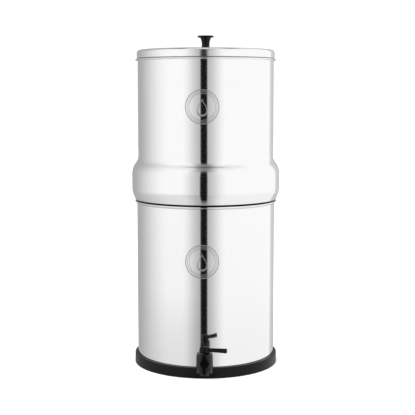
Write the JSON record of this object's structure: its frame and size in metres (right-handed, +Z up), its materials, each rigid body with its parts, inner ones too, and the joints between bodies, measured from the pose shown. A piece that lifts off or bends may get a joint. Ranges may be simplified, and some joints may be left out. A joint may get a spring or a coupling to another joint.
{
  "type": "gravity water filter with tap",
  "caption": "Countertop gravity water filter: stacked steel chambers, lift-off lid, ceramic candles inside and a lever tap.",
  "frame": {"origin": "centre of the base ring's underside, on the table", "axes": "+Z up along the chambers' axis, and the tap faces -Y. At rest the tap's lever stands 13 degrees forward of +X, shut"},
  "size_m": [0.2312, 0.2731, 0.5141],
  "materials": {
    "chamber_steel": "polished stainless steel sheet with fine lines round the chamber",
    "lid_steel": "polished stainless steel sheet",
    "base_rubber": "smooth black moulded rubber",
    "knob_plastic": "black moulded plastic, satin",
    "tap_plastic": "black moulded plastic, semi-gloss",
    "lever_plastic": "black moulded plastic, semi-gloss",
    "plug_plastic": "dark grey acetal",
    "nut_plastic": "black moulded plastic",
    "white_plastic": "white moulded plastic",
    "candle_ceramic": "unglazed off-white filter ceramic",
    "carbon": "pressed black carbon",
    "seal_rubber": "soft black rubber",
    "screw_steel": "plain stainless steel screw"
  },
  "bodies": {
    "lower_stand": {"base_ring": "base_rubber", "lower_chamber": "chamber_steel", "tap_body": "tap_plastic", "tap_washer_outer": "seal_rubber", "tap_washer_inner": "seal_rubber", "tap_nut": "nut_plastic", "plug_stop_ring": "white_plastic"},
    "upper_vessel": {"upper_chamber": "chamber_steel", "candle_shell_1": "candle_ceramic", "candle_shell_2": "candle_ceramic", "candle_shell_3": "candle_ceramic", "candle_shell_4": "candle_ceramic", "carbon_core_1": "carbon", "carbon_core_2": "carbon", "carbon_core_3": "carbon", "carbon_core_4": "carbon", "candle_cap_1": "white_plastic", "candle_cap_2": "white_plastic", "candle_cap_3": "white_plastic", "candle_cap_4": "white_plastic", "candle_seal_1": "seal_rubber", "candle_seal_2": "seal_rubber", "candle_seal_3": "seal_rubber", "candle_seal_4": "seal_rubber", "wing_nut_1": "white_plastic", "wing_nut_2": "white_plastic", "wing_nut_3": "white_plastic", "wing_nut_4": "white_plastic"},
    "lid_cover": {"lid": "lid_steel", "lid_knob": "knob_plastic", "knob_washer": "seal_rubber", "knob_screw": "screw_steel"},
    "tap_handle": {"tap_plug": "plug_plastic", "plug_o_ring_upper": "seal_rubber", "plug_o_ring_lower": "seal_rubber", "tap_lever": "lever_plastic", "lever_screw": "screw_steel"}
  },
  "joints": [
    {"name": "upper_chamber_lift", "type": "slide", "parent": "lower_stand", "child": "upper_vessel", "axis": [0, 0, 1], "range_m": [0, 0.15]},
    {"name": "lid_lift", "type": "slide", "parent": "upper_vessel", "child": "lid_cover", "axis": [0, 0, 1], "range_m": [0, 0.1]},
    {"name": "tap_lever_turn", "type": "hinge", "parent": "lower_stand", "child": "tap_handle", "pos_m": [0, -0.1437, 0.0341], "axis": [0, 0, 1], "range_deg": [-77, 13]}
  ]
}
